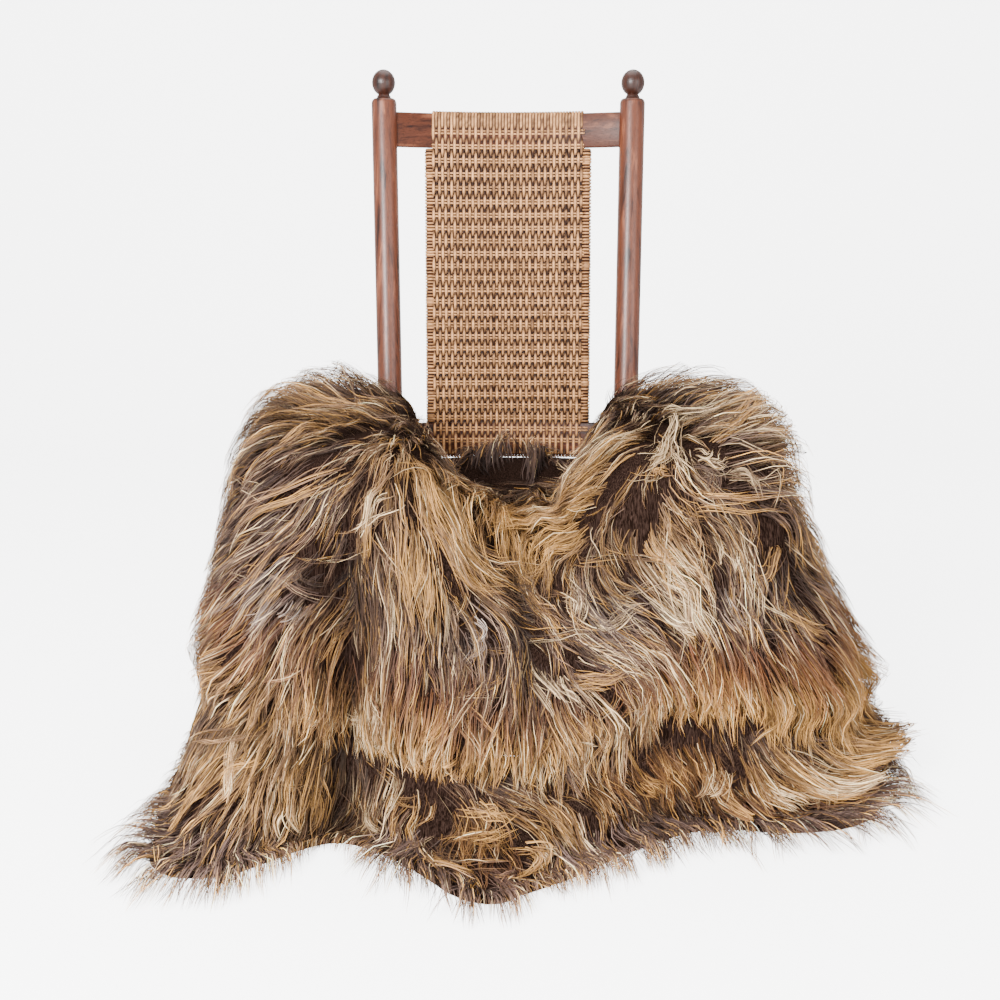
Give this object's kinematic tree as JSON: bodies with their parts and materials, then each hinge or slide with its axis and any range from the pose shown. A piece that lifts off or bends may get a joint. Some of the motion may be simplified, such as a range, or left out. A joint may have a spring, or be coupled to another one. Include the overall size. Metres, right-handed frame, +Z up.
{
  "type": "sheepskin rug draped over a wooden chair",
  "caption": "Long-wool sheepskin rug in two tiers, draped over the seat and arms of a plain wooden chair with a woven cane back, its hem spread on the floor.",
  "frame": {"origin": "on the floor, in the middle of the outline's width and depth", "axes": "+Z up, the front of the chair faces -Y, +X to the viewer's right from the front"},
  "size_m": [1.274, 0.9778, 1.15],
  "materials": {
    "oak": "stained and waxed oak, reddish brown",
    "cane": "woven honey-coloured cane, worn",
    "wool": "long mauve-brown sheep's wool on its hide",
    "wool_tips": "sun-bleached golden wool tips"
  },
  "bodies": {
    "root": {"upper_tier": "wool", "lower_tier": "wool", "lip_locks_left": "wool_tips", "lip_locks_front": "wool_tips", "lip_locks_right": "wool_tips", "hem_locks_left": "wool_tips", "hem_locks_front": "wool_tips", "hem_locks_right": "wool_tips", "back_post_left": "oak", "back_post_right": "oak", "front_post_left": "oak", "front_post_right": "oak", "arm_left": "oak", "arm_right": "oak", "top_slat": "oak", "low_slat": "oak", "seat_rail_front": "oak", "seat_rail_back": "oak", "seat_rail_left": "oak", "seat_rail_right": "oak", "rung_front": "oak", "rung_back": "oak", "rung_left": "oak", "rung_right": "oak", "seat_panel": "cane", "cane_panel": "cane", "cane_binding_left": "cane", "cane_binding_right": "cane"}
  },
  "joints": []
}
